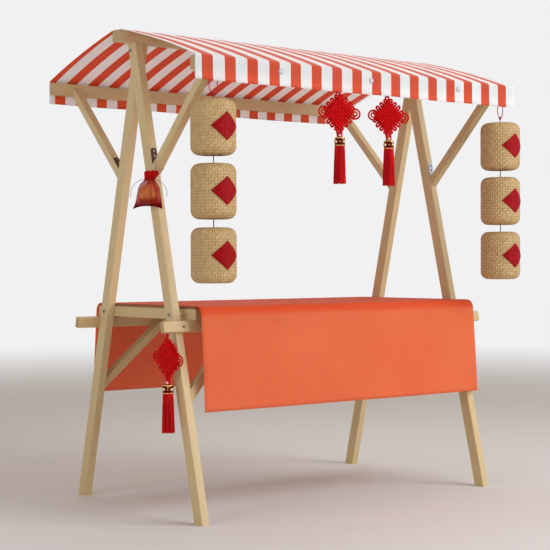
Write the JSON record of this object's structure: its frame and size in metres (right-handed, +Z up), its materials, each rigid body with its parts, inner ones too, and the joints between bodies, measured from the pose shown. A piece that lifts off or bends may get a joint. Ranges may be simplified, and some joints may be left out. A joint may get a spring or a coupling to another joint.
{
  "type": "market stall",
  "caption": "Wooden market stall of pine battens on splayed legs, with a striped pitched canopy, a red tablecloth, strings of lanterns and knotted charms",
  "frame": {"origin": "on the floor that the four feet stand on, under the middle of the whole stall's box, hanging lanterns included", "axes": "+Z up, +X along the ridge from the left end to the right end as the customer sees it, +Y from the customer's side to the seller's side"},
  "size_m": [1.6306, 1.0626, 1.777],
  "materials": {
    "pine": "planed, oiled",
    "deck_board": "thin plywood",
    "zinc_plate": "zinc plated",
    "canopy_fabric": "striped waterproof canvas",
    "cloth_fabric": "matte woven cloth",
    "lantern_cane": "open cane weave",
    "red_cord": "satin cord",
    "pouch_organza": "sheer organza"
  },
  "bodies": {
    "root": {"leg_left_front": "pine", "leg_left_rear": "pine", "leg_right_rear": "pine", "leg_right_front": "pine", "ridge_beam": "pine", "eave_beam_front": "pine", "eave_beam_rear": "pine", "strut_left_front": "pine", "strut_left_rear": "pine", "strut_right_rear": "pine", "strut_right_front": "pine", "corner_bracket_left_front": "zinc_plate", "corner_bracket_left_rear": "zinc_plate", "corner_bracket_right_rear": "zinc_plate", "corner_bracket_right_front": "zinc_plate", "knee_brace_left_front": "pine", "knee_brace_left_rear": "pine", "knee_brace_right_rear": "pine", "knee_brace_right_front": "pine", "end_rail_left": "pine", "bolt_sleeve_left": "zinc_plate", "end_rail_right": "pine", "bolt_sleeve_right": "zinc_plate", "deck_bearer": "pine", "long_rail_front": "pine", "long_rail_rear": "pine", "table_deck": "deck_board", "tablecloth": "cloth_fabric", "canopy": "canopy_fabric", "lantern_left_1": "lantern_cane", "lantern_left_2": "lantern_cane", "lantern_left_3": "lantern_cane", "lantern_cord_left": "red_cord", "lantern_right_1": "lantern_cane", "lantern_right_2": "lantern_cane", "lantern_right_3": "lantern_cane", "lantern_cord_right": "red_cord", "knot_charm_middle": "red_cord", "knot_charm_right": "red_cord", "knot_charm_rail": "red_cord", "gift_pouch": "pouch_organza"}
  },
  "joints": []
}
